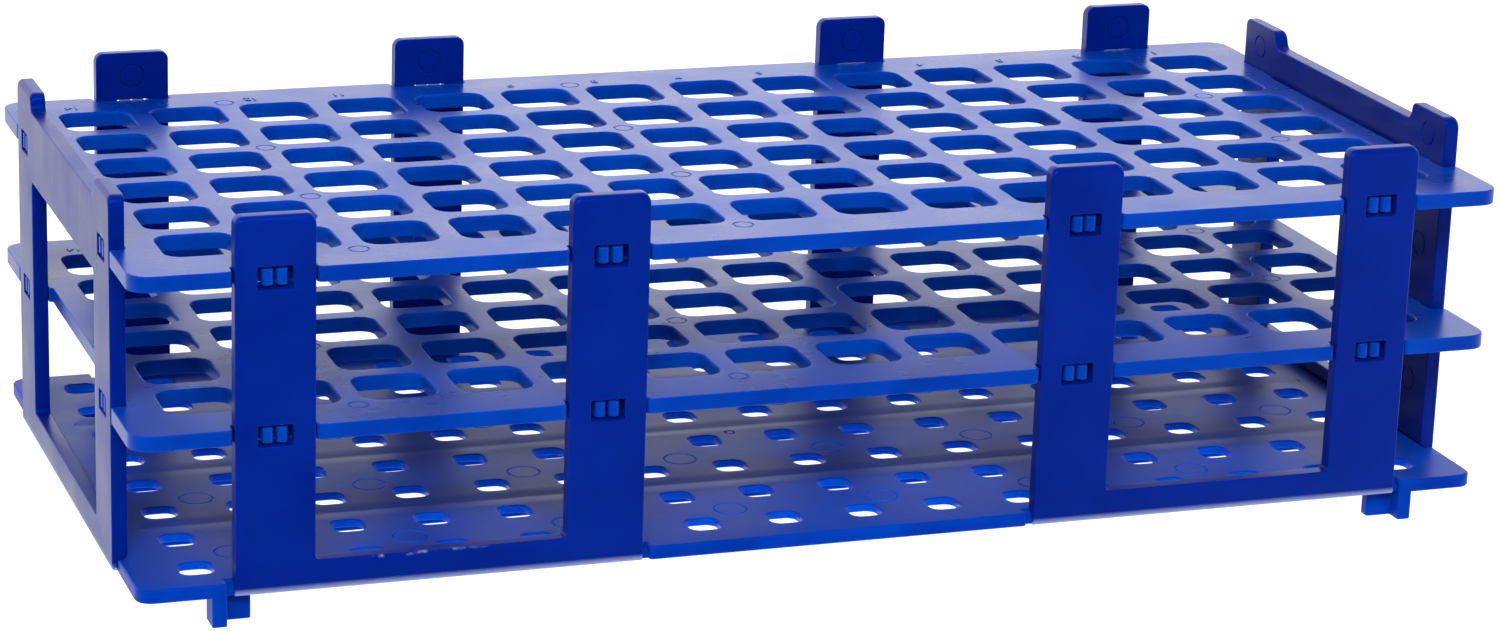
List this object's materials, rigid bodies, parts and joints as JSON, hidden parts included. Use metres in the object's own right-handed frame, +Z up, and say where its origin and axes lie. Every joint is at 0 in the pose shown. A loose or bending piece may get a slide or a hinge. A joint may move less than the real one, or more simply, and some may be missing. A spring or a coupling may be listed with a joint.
{
  "type": "test tube rack",
  "caption": "Folding plastic test tube rack: two grids of square wells on hinged leg panels above a drained base plate.",
  "frame": {"origin": "middle of the footprint, level with the soles of the feet", "axes": "+X along the rack's length, to the right seen from the front; +Z up; the front is -Y"},
  "size_m": [0.265, 0.126, 0.075],
  "materials": {
    "blue_polypropylene": "satin"
  },
  "bodies": {
    "rack": {"base_plate": "blue_polypropylene", "middle_grid": "blue_polypropylene", "top_grid": "blue_polypropylene", "front_left_hinge": "blue_polypropylene", "front_right_hinge": "blue_polypropylene", "back_left_hinge": "blue_polypropylene", "back_right_hinge": "blue_polypropylene", "left_end_hinge": "blue_polypropylene", "right_end_hinge": "blue_polypropylene"},
    "front_left_panel": {"front_left_panel": "blue_polypropylene"},
    "front_right_panel": {"front_right_panel": "blue_polypropylene"},
    "back_left_panel": {"back_left_panel": "blue_polypropylene"},
    "back_right_panel": {"back_right_panel": "blue_polypropylene"},
    "left_end_panel": {"left_end_panel": "blue_polypropylene"},
    "right_end_panel": {"right_end_panel": "blue_polypropylene"}
  },
  "joints": [
    {"name": "front_left_fold", "type": "hinge", "parent": "rack", "child": "front_left_panel", "pos_m": [-0.0764, -0.0624, 0.0061], "axis": [1, 0, 0], "range_deg": [0, 90]},
    {"name": "front_right_fold", "type": "hinge", "parent": "rack", "child": "front_right_panel", "pos_m": [0.0764, -0.0624, 0.0061], "axis": [1, 0, 0], "range_deg": [0, 90]},
    {"name": "back_left_fold", "type": "hinge", "parent": "rack", "child": "back_left_panel", "pos_m": [-0.0764, 0.0624, 0.0061], "axis": [-1, 0, 0], "range_deg": [0, 90]},
    {"name": "back_right_fold", "type": "hinge", "parent": "rack", "child": "back_right_panel", "pos_m": [0.0764, 0.0624, 0.0061], "axis": [-1, 0, 0], "range_deg": [0, 90]},
    {"name": "left_end_fold", "type": "hinge", "parent": "rack", "child": "left_end_panel", "pos_m": [-0.1319, 0, 0.0061], "axis": [0, -1, 0], "range_deg": [0, 90]},
    {"name": "right_end_fold", "type": "hinge", "parent": "rack", "child": "right_end_panel", "pos_m": [0.1319, 0, 0.0061], "axis": [0, 1, 0], "range_deg": [0, 90]}
  ]
}
